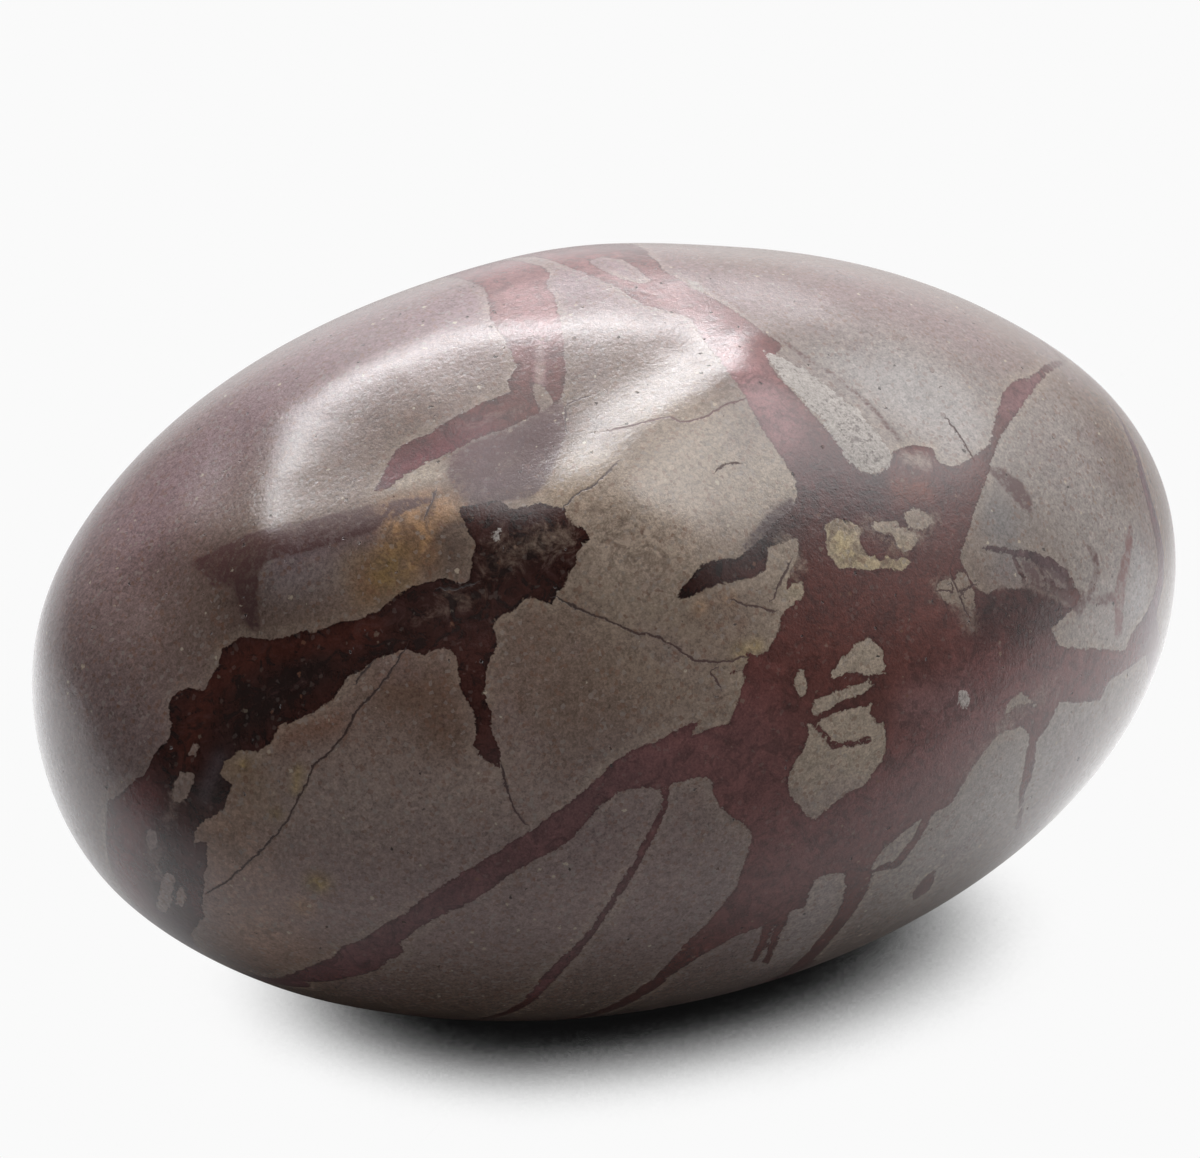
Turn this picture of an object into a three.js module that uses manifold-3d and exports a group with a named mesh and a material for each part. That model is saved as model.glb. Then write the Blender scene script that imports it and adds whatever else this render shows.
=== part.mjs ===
// A shiva lingam stone: a river-worn egg of banded jasper, ground smooth and lightly polished, resting on the
// small flat worn on its underside. It is one piece, so it is one solid.
// Millimetres. +Z is up and +X runs along the stone, towards the end that lies slightly raised.
// The origin is the middle of the resting flat.

import * as THREE from 'three';
import { mergeVertices } from 'three/addons/utils/BufferGeometryUtils.js';
import Module from 'manifold-3d';

// ---- driving dimensions ----

const LENGTH = 124; // tip to tip
const BREADTH = 81.8; // across, lying down
const THICKNESS = 78.6; // crown to underside, before the flat
const RAISED_END = 2.26; // degrees that the long axis climbs towards +X
const FLAT_DEPTH = 1.0; // how deep the resting flat is worn into the egg
const ROUNDNESS = 18; // times that each edge of the starting icosahedron is parted

// A place on the stone is [along, turn]: millimetres along the long axis from its middle, and degrees round it,
// 0 on the crown, 90 on the front (-Y), 180 on the underside and 270 on the back.
// Each relief runs through its places: rise is its height (a hollow's is negative) and reach is how far it
// spreads to either side before it has sunk to about a third.
const RELIEF = [
  // broad swells and worn-down stretches, which make the egg uneven
  { name: 'raised end, swollen', rise: 0.5, reach: 14, places: [[57, 30]] },
  { name: 'far shoulder, worn flat', rise: -0.4, reach: 12, places: [[44, -6], [20, -17]] },
  { name: 'crown, swollen', rise: 0.45, reach: 12, places: [[1, -22]] },
  { name: 'low end, worn blunt', rise: -0.65, reach: 12, places: [[-61, 240]] },
  { name: 'low end, heavy chin', rise: 0.3, reach: 10, places: [[-55, 164], [-42, 156]] },

  // the dished hollow over the front, between the ridge on the crown and the brow
  { name: 'dish', rise: -1.65, reach: 11.5, places: [[-48.5, 1.5], [-16, 10.5], [-4, 9], [10, 12]] },
  { name: 'swell in the dish', rise: 0.65, reach: 8, places: [[-11, 35.5], [-26.5, 14], [-12, 36]] },
  { name: 'hollow under the crest', rise: -0.65, reach: 9.5, places: [[-41.5, 9.5], [-20.5, 25], [-9, 2.5]] },
  {
    name: 'crown ridge',
    rise: 0.5,
    reach: 5.5,
    places: [[-37.5, 16], [-34.5, 4.5], [-28, 2.5], [-2.5, 8], [6.5, 19]],
  },
  { name: 'brow, low half', rise: 2.15, reach: 6.5, places: [[-40, 36.5], [-24, 39.5], [-6, 52]] },
  { name: 'brow, high half', rise: 1.6, reach: 6, places: [[-8, 42.5], [8.5, 28.5], [10.5, 22]] },
  { name: 'groove along the brow', rise: -0.7, reach: 6.5, places: [[5.5, 35], [0, 27], [-9.5, 25]] },
  { name: 'dip on the low end', rise: -0.85, reach: 5, places: [[-52.5, 23]] },
  { name: 'face under the brow', rise: -3.1, reach: 11.5, places: [[-50, 51], [-18, 38.5]] },

  // the crease beside the brow's high corner, and the long soft edge that leaves it for the raised end
  { name: 'crease', rise: -0.15, reach: 3, places: [[7, -8], [2.5, 11.5], [4, 28.5]] },
  { name: 'crease, running out', rise: -1.2, reach: 5, places: [[8, 19.5], [24.5, 37.5]] },
  { name: 'long edge', rise: 0.1, reach: 4.5, places: [[8, 21], [25.5, 28.5], [44, 24]] },

  // the back
  { name: 'back hollow', rise: -0.8, reach: 11, places: [[-25, 262], [0, 270], [18, 266]] },
  { name: 'back ridge', rise: 0.5, reach: 4.5, places: [[-36, 296], [-8, 316], [17, 309]] },
  { name: 'back facet', rise: -0.6, reach: 10, places: [[12, 228], [36, 236]] },
  { name: 'back dimple', rise: -0.5, reach: 3.2, places: [[31, 301]] },
  { name: 'back scallop', rise: -0.5, reach: 4, places: [[-44, 246], [-36, 240]] },

  // the underside, outside the flat
  { name: 'underside groove', rise: -0.45, reach: 4, places: [[24, 196], [42, 212]] },
  { name: 'underside dimple', rise: -0.4, reach: 3.5, places: [[-30, 206]] },
];

// ---- the egg ----

const HALF = new THREE.Vector3(LENGTH, BREADTH, THICKNESS).multiplyScalar(0.5);

// The point of the plain egg at a place.
function onEgg([along, turn]) {
  const girth = Math.sqrt(1 - (along / HALF.x) ** 2);
  const angle = THREE.MathUtils.degToRad(turn);
  return new THREE.Vector3(along, -HALF.y * girth * Math.sin(angle), HALF.z * girth * Math.cos(angle));
}

// A relief's places as the straight runs between them; a single place is a run of no length.
function runs({ places }) {
  const points = places.map(onEgg);
  return points.slice(0, Math.max(1, points.length - 1))
    .map((start, i) => new THREE.Line3(start, points[Math.min(i + 1, points.length - 1)]));
}

const RELIEF_RUNS = RELIEF.map((relief) => ({ ...relief, runs: runs(relief) }));

// How far the surface stands out at a point: every relief's rise, fading with the distance from its runs.
function riseAt(point) {
  const nearest = new THREE.Vector3();
  let rise = 0;
  for (const relief of RELIEF_RUNS) {
    let distance = Infinity;
    for (const run of relief.runs) {
      run.closestPointToPoint(point, true, nearest);
      distance = Math.min(distance, nearest.distanceTo(point));
    }
    rise += relief.rise * Math.exp(-((distance / relief.reach) ** 2));
  }
  return rise;
}

// A ball of even facets, stretched to the egg, with each corner moved out or in by the relief.
function eggGeometry() {
  const ball = new THREE.IcosahedronGeometry(1, ROUNDNESS);
  ball.deleteAttribute('normal');
  ball.deleteAttribute('uv');
  const geometry = mergeVertices(ball, 1e-5);
  const position = geometry.attributes.position;
  const direction = new THREE.Vector3();
  for (let i = 0; i < position.count; i += 1) {
    direction.fromBufferAttribute(position, i).normalize();
    const point = direction.clone().multiply(HALF);
    const outward = direction.clone().divide(HALF).normalize();
    point.addScaledVector(outward, riseAt(point));
    position.setXYZ(i, point.x, point.y, point.z);
  }
  geometry.rotateY(-THREE.MathUtils.degToRad(RAISED_END));
  return geometry;
}

// ---- the resting flat ----

const wasm = await Module();
wasm.setup();

function toSolid(geometry) {
  return new wasm.Manifold(new wasm.Mesh({
    numProp: 3,
    vertProperties: new Float32Array(geometry.attributes.position.array),
    triVerts: new Uint32Array(geometry.index.array),
  }));
}

function toGeometry(solid) {
  const mesh = solid.getMesh();
  const geometry = new THREE.BufferGeometry();
  geometry.setAttribute('position', new THREE.BufferAttribute(new Float32Array(mesh.vertProperties), 3));
  geometry.setIndex(new THREE.BufferAttribute(new Uint32Array(mesh.triVerts), 1));
  return geometry;
}

// The ground under the egg, as a block whose top is at z = 0.
function groundBlock() {
  const block = new THREE.BoxGeometry(2 * LENGTH, 2 * BREADTH, THICKNESS);
  block.deleteAttribute('normal');
  block.deleteAttribute('uv');
  return mergeVertices(block.translate(0, 0, -THICKNESS / 2));
}

// The middle of the corners that lie on the ground.
function middleOfFlat(geometry) {
  const flat = new THREE.Box3();
  const position = geometry.attributes.position;
  const corner = new THREE.Vector3();
  for (let i = 0; i < position.count; i += 1) {
    corner.fromBufferAttribute(position, i);
    if (Math.abs(corner.z) < 1e-6) {
      flat.expandByPoint(corner);
    }
  }
  return flat.getCenter(new THREE.Vector3());
}

function stoneGeometry() {
  const egg = eggGeometry();
  egg.computeBoundingBox();
  egg.translate(0, 0, -egg.boundingBox.min.z - FLAT_DEPTH);
  const worn = toGeometry(toSolid(egg).subtract(toSolid(groundBlock())));
  const middle = middleOfFlat(worn);
  worn.translate(-middle.x, -middle.y, 0);
  worn.computeVertexNormals();
  return worn;
}

// ---- the part ----

const jasper = new THREE.MeshStandardMaterial({ color: 0x6f5c54, roughness: 0.42, metalness: 0 });

const stone = new THREE.Mesh(stoneGeometry(), jasper);
stone.name = 'stone';

const part = new THREE.Group();
part.add(stone);

export default part;
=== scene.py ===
# %% [markdown]
# # A shiva lingam stone
#
# The stone is one river-worn egg of banded jasper, ground smooth and lightly polished. It rests, a little
# tilted, on a small flat on its underside. This notebook builds it in four parts: the shape, the marks,
# the finish, and the table and light that it is seen in.
#
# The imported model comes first. It is the fixed frame: it says how big the stone is and where it lies.

# %% Load the frame
import math

import bpy
import numpy as np
from mathutils import Matrix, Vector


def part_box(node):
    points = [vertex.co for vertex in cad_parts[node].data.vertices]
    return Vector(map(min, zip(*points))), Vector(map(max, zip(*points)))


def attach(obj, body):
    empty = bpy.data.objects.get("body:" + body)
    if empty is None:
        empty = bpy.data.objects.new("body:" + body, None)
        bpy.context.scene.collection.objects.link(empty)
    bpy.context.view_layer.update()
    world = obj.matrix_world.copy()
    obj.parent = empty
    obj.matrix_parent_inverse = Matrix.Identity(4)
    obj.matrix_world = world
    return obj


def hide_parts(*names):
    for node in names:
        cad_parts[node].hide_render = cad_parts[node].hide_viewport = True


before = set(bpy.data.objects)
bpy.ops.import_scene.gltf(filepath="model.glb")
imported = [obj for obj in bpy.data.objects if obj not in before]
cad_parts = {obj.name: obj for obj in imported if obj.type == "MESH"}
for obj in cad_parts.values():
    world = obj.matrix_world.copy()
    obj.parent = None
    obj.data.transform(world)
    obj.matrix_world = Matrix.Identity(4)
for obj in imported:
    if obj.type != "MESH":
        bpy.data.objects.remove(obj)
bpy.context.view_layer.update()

MM = 0.001  # this notebook thinks in millimetres, and Blender in metres
cad_low, cad_high = (np.array(corner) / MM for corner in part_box("stone"))
print("the solid spans, in mm:", np.round(cad_high - cad_low, 1))

# %% [markdown]
# ## The shape
#
# A river rolls a stone into an egg, and the last grinding leaves it smooth but never even. So the surface is
# worked out in two layers. The first is a plain egg with three half-widths. The second is the relief: a few
# swells, worn flats, ridges and hollows, each with a rise and a reach in real millimetres. Modelling the same
# forms by hand with the sculpt brushes would work too, but then nobody could read off how deep a hollow is.
#
# A place on the stone is written [along, turn]: millimetres along the long axis from its middle, and degrees
# round it, 0 on the crown, 90 on the front, 180 on the underside and 270 on the back.

# %% Driving sizes
HALF = np.array([62.0, 40.9, 39.3])  # half of the length, breadth and thickness, mm
RAISED_END = math.radians(2.26)  # the long axis climbs towards +X
FLAT_DEPTH = 1.0  # how deep the resting flat is worn into the egg, mm

# rise, reach and places of each form that the solid has too
RELIEF = {
    "raised end, swollen": (0.5, 14, [[57, 30]]),
    "far shoulder, worn flat": (-0.4, 12, [[44, -6], [20, -17]]),
    "crown, swollen": (0.45, 12, [[1, -22]]),
    "low end, worn blunt": (-0.65, 12, [[-61, 240]]),
    "low end, heavy chin": (0.3, 10, [[-55, 164], [-42, 156]]),
    "dish": (-1.65, 11.5, [[-48.5, 1.5], [-16, 10.5], [-4, 9], [10, 12]]),
    "swell in the dish": (0.65, 8, [[-11, 35.5], [-26.5, 14], [-12, 36]]),
    "hollow under the crest": (-0.65, 9.5, [[-41.5, 9.5], [-20.5, 25], [-9, 2.5]]),
    "crown ridge": (0.5, 5.5, [[-37.5, 16], [-34.5, 4.5], [-28, 2.5], [-2.5, 8], [6.5, 19]]),
    "brow, low half": (2.15, 6.5, [[-40, 36.5], [-24, 39.5], [-6, 52]]),
    "brow, high half": (1.6, 6, [[-8, 42.5], [8.5, 28.5], [10.5, 22]]),
    "groove along the brow": (-0.7, 6.5, [[5.5, 35], [0, 27], [-9.5, 25]]),
    "dip on the low end": (-0.85, 5, [[-52.5, 23]]),
    "face under the brow": (-3.1, 11.5, [[-50, 51], [-18, 38.5]]),
    "crease": (-0.15, 3, [[7, -8], [2.5, 11.5], [4, 28.5]]),
    "crease, running out": (-1.2, 5, [[8, 19.5], [24.5, 37.5]]),
    "long edge": (0.1, 4.5, [[8, 21], [25.5, 28.5], [44, 24]]),
    "back hollow": (-0.8, 11, [[-25, 262], [0, 270], [18, 266]]),
    "back ridge": (0.5, 4.5, [[-36, 296], [-8, 316], [17, 309]]),
    "back facet": (-0.6, 10, [[12, 228], [36, 236]]),
    "back dimple": (-0.5, 3.2, [[31, 301]]),
    "back scallop": (-0.5, 4, [[-44, 246], [-36, 240]]),
    "underside groove": (-0.45, 4, [[24, 196], [42, 212]]),
    "underside dimple": (-0.4, 3.5, [[-30, 206]]),
}
rises = [rise for rise, _, _ in RELIEF.values()]
print(f"the relief has {len(RELIEF)} forms, with rises from {min(rises)} to {max(rises)} mm")


# %% The egg and its relief
def on_egg(places):
    """Points of the plain egg at [along, turn] places: along is kept, and the girth there, a share
    sqrt(1 - (along / half length)^2) of the full one, is turned round the long axis."""
    along, turn = np.asarray(places, float).T
    girth = np.sqrt(np.clip(1 - (along / HALF[0]) ** 2, 0, 1))
    angle = np.radians(turn)
    return np.stack([along, -HALF[1] * girth * np.sin(angle), HALF[2] * girth * np.cos(angle)], axis=-1)


def nearest_on_path(points, path):
    """For each point, its distance to the nearest of a path's straight runs. On a run from a to b, the
    nearest spot is a + t (b - a), where t is (point - a).(b - a) / |b - a|^2, held between 0 and 1."""
    best = np.full(len(points), np.inf)
    for start, end in zip(path[:-1], path[1:]):
        step = end - start
        length = max(float(step @ step), 1e-9)
        t = np.clip((points - start) @ step / length, 0, 1)
        gap = points - start - t[:, None] * step
        best = np.minimum(best, np.einsum("ij,ij->i", gap, gap))
    return np.sqrt(best)


def rise_at(points):
    """Sum over the relief of rise * exp(-(distance / reach)^2), in mm."""
    total = np.zeros(len(points))
    for rise, reach, places in RELIEF.values():
        path = on_egg(places if len(places) > 1 else places * 2)
        total += rise * np.exp(-(nearest_on_path(points, path) / reach) ** 2)
    return total


def surface(directions):
    """The stone at each direction d of a ball: the egg's point d * HALF, moved along the egg's outward
    normal, which points along d / HALF, by the relief's rise there."""
    points = directions * HALF
    outward = directions / HALF
    outward /= np.linalg.norm(outward, axis=1, keepdims=True)
    return points + outward * rise_at(points)[:, None]


print("the relief in the middle of the dish, in mm:", rise_at(on_egg([[-10, 10]])).round(2))

# %% [markdown]
# The surface needs a net of faces to carry it. A globe's net of meridians crowds at its two poles, so this
# one starts as the six sides of a box, each a grid of two parameters, blown up to a ball. The grid is then
# drawn together towards the front, where the marks are finest, by the formula that aberration of light
# follows: it keeps every little square a square.

# %% The net of the ball
LONG_CELLS, ROUND_CELLS = 176, 104  # cells along the stone and across each side of the box
FRONT = np.array([-0.30, -0.85, 0.42])  # the direction that the net is drawn towards
DRAW = 0.24  # how strongly: 0 leaves it even


def box_side(axis, sign, cells_u, cells_v):
    """One side of the box as a grid: u and v run over tan(-45..45 degrees), which evens out the cells once
    every point is divided by its own length."""
    u = np.tan(np.linspace(-math.pi / 4, math.pi / 4, cells_u + 1))
    v = np.tan(np.linspace(-math.pi / 4, math.pi / 4, cells_v + 1))
    grid = np.empty((cells_u + 1, cells_v + 1, 3))
    grid[..., axis] = sign
    first, second = [other for other in range(3) if other != axis]
    grid[..., first] = u[:, None]
    grid[..., second] = v[None, :]
    number = np.arange(grid[..., 0].size).reshape(cells_u + 1, cells_v + 1)
    quads = np.stack([number[:-1, :-1], number[1:, :-1], number[1:, 1:], number[:-1, 1:]], axis=-1)
    turned = (sign > 0) == (axis == 1)
    return grid.reshape(-1, 3), quads.reshape(-1, 4)[:, ::-1] if turned else quads.reshape(-1, 4)


def ball_net():
    """Six sides sewn into one ball: points that two or three sides share are merged by their place."""
    points, quads = [], []
    for axis, cells_u in enumerate((ROUND_CELLS, LONG_CELLS, LONG_CELLS)):
        for sign in (-1.0, 1.0):
            grid, faces = box_side(axis, sign, cells_u, ROUND_CELLS)
            quads.append(faces + sum(len(part) for part in points))
            points.append(grid)
    points, quads = np.concatenate(points), np.concatenate(quads)
    key = np.round(points * 1e6).astype(np.int64)
    _, first, number = np.unique(key, axis=0, return_index=True, return_inverse=True)
    directions = points[first]
    directions /= np.linalg.norm(directions, axis=1, keepdims=True)
    return directions, number.reshape(-1)[quads]


def draw_together(directions, towards, strength):
    """Aberration: a direction at angle a from the pull goes to a', cos a' = (cos a + s) / (1 + s cos a)."""
    pull = towards / np.linalg.norm(towards)
    cos = directions @ pull
    side = directions - cos[:, None] * pull
    new_cos = (cos + strength) / (1 + strength * cos)
    shrink = np.sqrt(np.maximum(1 - new_cos**2, 0) / np.maximum(1 - cos**2, 1e-12))
    return new_cos[:, None] * pull + side * shrink[:, None]


directions, quads = ball_net()
directions = draw_together(directions, FRONT, DRAW)
print("net:", len(directions), "points,", len(quads) * 2, "triangles")

# %% [markdown]
# The stone lies on a table, so it is tilted, lowered until a thin slice is under the table's top, and that
# slice is worn off. The wear has a rounded rim a fraction of a millimetre wide, as a rubbed stone has.

# %% Lay the stone down
RIM = 0.12  # half of the worn flat's rounded rim, mm

tilt = np.array([[math.cos(RAISED_END), 0, -math.sin(RAISED_END)],
                 [0, 1, 0],
                 [math.sin(RAISED_END), 0, math.cos(RAISED_END)]])


def worn_to_table(height):
    """Heights kept above the rim, 0 below it, and (height + rim)^2 / (4 rim) across it, which joins both."""
    across = (np.clip(height, -RIM, RIM) + RIM) ** 2 / (4 * RIM)
    return np.where(height > RIM, height, across)


egg_points = directions * HALF
laid = surface(directions) @ tilt.T
lift = -laid[:, 2].min() - FLAT_DEPTH
laid[:, 2] = worn_to_table(laid[:, 2] + lift)
shift = (cad_low + cad_high)[:2] / 2 - (laid.min(axis=0) + laid.max(axis=0))[:2] / 2
laid[:, :2] += shift
middle = np.array([shift[0], shift[1], lift])  # the egg's middle, on the table
print("the egg's middle, in mm:", np.round(middle, 2))

# %% Make the mesh
mesh = bpy.data.meshes.new("stone")
mesh.from_pydata((laid * MM).tolist(), [], quads.tolist())
mesh.shade_smooth()
stone = bpy.data.objects.new("lingam_stone", mesh)
bpy.context.scene.collection.objects.link(stone)
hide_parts("stone")
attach(stone, "root")
print("the stone measures, in mm:", np.round(laid.max(axis=0) - laid.min(axis=0), 1))

# %% [markdown]
# ## The camera
#
# The camera looks down on the stone from a little to its left. A long lens on a camera that stands well back,
# as in a product shot, keeps the near end from swelling.

# %% The camera
VIEW_TURN, VIEW_HEIGHT = -21, 24  # degrees round the stone from straight in front, and up
VIEW_DISTANCE = 430.0  # mm
LENS, SENSOR = 124.24, 36.0  # mm
AIM = np.array([-1.59, 0.0, 5.77])  # from the egg's middle, mm


def compass(azimuth, height):
    """A direction in the room from two angles in degrees: azimuth 0 is where the camera stands, and 180 is
    behind the stone."""
    a, h = math.radians(azimuth + VIEW_TURN), math.radians(height)
    return np.array([math.sin(a) * math.cos(h), -math.cos(a) * math.cos(h), math.sin(h)])


back = compass(0, VIEW_HEIGHT)
right = np.cross(-back, [0, 0, 1])
right /= np.linalg.norm(right)
up = np.cross(right, -back)
eye = middle + AIM + back * VIEW_DISTANCE

lens = bpy.data.cameras.new("camera")
lens.lens = LENS
lens.sensor_width = SENSOR
lens.sensor_fit = "HORIZONTAL"
lens.clip_start, lens.clip_end = 0.01, 20
camera = bpy.data.objects.new("camera", lens)
axes = np.stack([right, up, back]).T
camera.matrix_world = Matrix([[*axis, place] for axis, place in zip(axes, eye * MM)] + [[0, 0, 0, 1]])
bpy.context.scene.collection.objects.link(camera)
bpy.context.scene.camera = camera
print("the camera stands at, in mm:", np.round(eye))

# %% [markdown]
# ## The marks
#
# The stone began as silt. Water rich in iron seeped into its cracks and set there as red jasper, and where
# the cracks crossed it left broken chips of the silt standing as islands. A vein has a hard, ragged edge.
#
# The marks are drawn flat, because a flat drawing is where an eye can judge a line. The sheet is 1200 wide
# and 1158 high, it is laid over what the camera sees, and it is thrown onto the stone as a projector throws
# a slide. Painting on the mesh by hand would give the same marks, but not as lines that can be corrected.

# %% The veins
SHEET_WIDE, SHEET_HIGH = 1200, 1158

VEINS = {
    "left vein": [
        (450, 577), (424, 582), (404, 591), (392, 600), (380, 611), (354, 620), (341, 621), (320, 630),
        (308, 628), (295, 634), (280, 636), (262, 636), (249, 634), (229, 644), (224, 662), (213, 680),
        (206, 690), (193, 687), (181, 690), (173, 699), (173, 713), (175, 723), (170, 741), (159, 749),
        (150, 764), (142, 777), (129, 787), (117, 795), (107, 802), (106, 828), (106, 848), (111, 869),
        (122, 889), (142, 909), (167, 927), (190, 934), (203, 917), (203, 894), (207, 864), (207, 843),
        (196, 843), (193, 833), (206, 820), (224, 810), (231, 795), (235, 782), (226, 777), (221, 774),
        (226, 764), (241, 751), (262, 750), (275, 741), (282, 726), (303, 717), (323, 708), (336, 698),
        (346, 685), (349, 675), (364, 670), (374, 660), (394, 653), (407, 649), (426, 654), (438, 647),
        (453, 650), (459, 657), (485, 630), (480, 590)],
    "tongue hanging from it": [
        (455, 640), (459, 657), (459, 674), (464, 693), (470, 705), (474, 713), (477, 730), (474, 744),
        (477, 754), (489, 762), (500, 768), (500, 756), (494, 737), (491, 713), (485, 693), (487, 674),
        (491, 659), (499, 647), (497, 635), (494, 625), (496, 618), (470, 610)],
    "dark knot": [
        (460, 507), (465, 524), (477, 541), (474, 560), (473, 577), (462, 590), (470, 612), (484, 624),
        (496, 618), (511, 612), (521, 604), (525, 597), (547, 601), (552, 604), (559, 589), (567, 584),
        (568, 572), (579, 561), (576, 553), (581, 545), (590, 538), (585, 530), (574, 525), (569, 519),
        (564, 508), (540, 503), (512, 509), (500, 499), (482, 503)],
    "long diagonal vein": [
        (276, 978), (308, 967), (332, 957), (342, 947), (361, 939), (381, 927), (400, 916), (419, 901),
        (441, 887), (458, 874), (482, 862), (502, 848), (526, 833), (543, 821), (564, 807), (581, 793),
        (598, 778), (617, 759), (637, 749), (659, 739), (678, 730), (702, 719), (690, 737), (705, 730),
        (735, 722), (735, 775), (707, 778), (693, 779), (671, 784), (659, 789), (642, 787), (617, 793),
        (605, 802), (591, 817), (574, 836), (555, 850), (531, 862), (509, 876), (492, 889), (463, 906),
        (434, 918), (412, 933), (400, 942), (405, 952), (390, 959), (376, 971), (356, 976), (337, 980),
        (318, 982), (296, 981)],
    "thin vein beside it": [
        (661, 786), (662, 800), (659, 812), (650, 829), (640, 848), (633, 862), (617, 888), (600, 914),
        (585, 936), (562, 957), (545, 973), (526, 996), (531, 1003), (556, 978), (573, 960), (591, 938),
        (607, 916), (623, 891), (642, 860), (648, 848), (657, 831), (665, 812), (668, 800), (669, 786)],
    "red heart": [
        (758, 350), (781, 380), (803, 403), (826, 429), (845, 448), (860, 471), (875, 475), (890, 463),
        (893, 452), (912, 444), (931, 448), (939, 463), (954, 467), (972, 458), (988, 447), (995, 418),
        (1003, 392), (1018, 379), (1036, 375), (1038, 380), (1029, 396), (1010, 422), (995, 448),
        (990, 465), (982, 492), (975, 507), (971, 522), (964, 542), (960, 560), (974, 586), (988, 594),
        (1002, 586), (1018, 591), (1032, 583), (1048, 592), (1062, 587), (1078, 600), (1070, 612),
        (1051, 629), (1059, 648), (1089, 648), (1123, 651), (1146, 633), (1158, 628), (1150, 652),
        (1109, 680), (1101, 699), (1078, 703), (1059, 701), (1048, 726), (1036, 742), (1032, 775),
        (1024, 795), (1019, 830), (1015, 830), (1019, 791), (1026, 755), (1030, 735), (1021, 726),
        (998, 734), (983, 753), (967, 776), (952, 803), (933, 814), (925, 830), (910, 853), (898, 868),
        (875, 872), (864, 895), (850, 918), (838, 932), (824, 948), (808, 964), (792, 977), (775, 985),
        (792, 965), (800, 925), (765, 925), (734, 937), (700, 956), (669, 977), (646, 986), (665, 967),
        (688, 941), (715, 914), (736, 887), (745, 860), (753, 837), (747, 826), (726, 814), (715, 799),
        (711, 780), (720, 750), (731, 720), (736, 705), (741, 691), (746, 679), (741, 671), (729, 674),
        (748, 662), (744, 650), (755, 656), (765, 654), (770, 646), (775, 640), (779, 630), (780, 620),
        (785, 612), (790, 607), (787, 597), (787, 585), (790, 572), (797, 560), (800, 545), (795, 530),
        (790, 513), (796, 501), (796, 482), (781, 456), (762, 429), (747, 399), (728, 373), (740, 358)],
    "dark tongue on the facet": [
        (674, 600), (683, 587), (693, 576), (702, 565), (719, 559), (739, 558), (751, 548), (760, 540),
        (772, 524), (790, 511), (806, 520), (798, 536), (768, 548), (765, 571), (744, 579), (731, 584),
        (719, 584), (705, 590), (688, 597)],
    "crown vein": [
        (536, 258), (560, 250), (575, 240), (600, 236), (633, 244), (663, 268), (687, 285), (713, 298),
        (740, 315), (763, 332), (783, 347), (765, 365), (745, 368), (728, 373), (712, 350), (700, 335),
        (690, 318), (663, 310), (643, 305), (620, 290), (600, 278), (573, 266)],
    "red wisp": [
        (470, 270), (500, 262), (530, 266), (545, 280), (556, 297), (560, 320), (564, 342), (567, 362),
        (566, 380), (563, 397), (556, 405), (545, 409), (530, 417), (510, 427), (490, 433), (470, 441),
        (450, 453), (430, 461), (412, 471), (395, 483), (384, 490), (376, 490), (385, 475), (392, 461),
        (401, 446), (430, 432), (455, 418), (487, 401), (513, 391), (510, 380), (518, 366), (512, 350),
        (508, 342), (490, 318), (491, 306), (485, 290)],
    "strands beside the bottom chip": [
        (772, 920), (766, 945), (755, 963), (749, 961), (758, 944), (764, 922)],
    "second strand": [(789, 908), (780, 936), (768, 964), (762, 962), (772, 935), (782, 910)],
    "spot at the right foot": [(937, 868), (930, 890), (914, 900), (912, 893), (924, 878)],
}

# spots of a pen line, with its half-width there in the sheet's units
VEIN_STROKES = {
    "vein round the raised end": [
        (1074, 366, 2), (1098, 388, 3), (1120, 419, 4), (1134, 447, 6), (1144, 482, 8), (1151, 507, 9),
        (1157, 530, 10), (1161, 554, 10), (1161, 578, 10), (1156, 602, 10), (1146, 622, 9), (1132, 642, 9)],
    "net line": [
        (979, 547, 2), (1007, 551, 3), (1034, 557, 5), (1052, 563, 5), (1066, 575, 5), (1078, 597, 4)],
    "net, crossing": [(1010, 552, 2), (1020, 570, 3), (1026, 586, 3)],
    "net, crossing again": [(1034, 559, 3), (1046, 577, 3), (1056, 592, 4)],
    "line to the crown": [(1034, 381, 5), (1045, 371, 4), (1055, 364, 4), (1066, 362, 2), (1076, 367, 1)],
}
print("drawn for the veins:", len(VEINS), "outlines and", len(VEIN_STROKES), "strokes")

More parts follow.
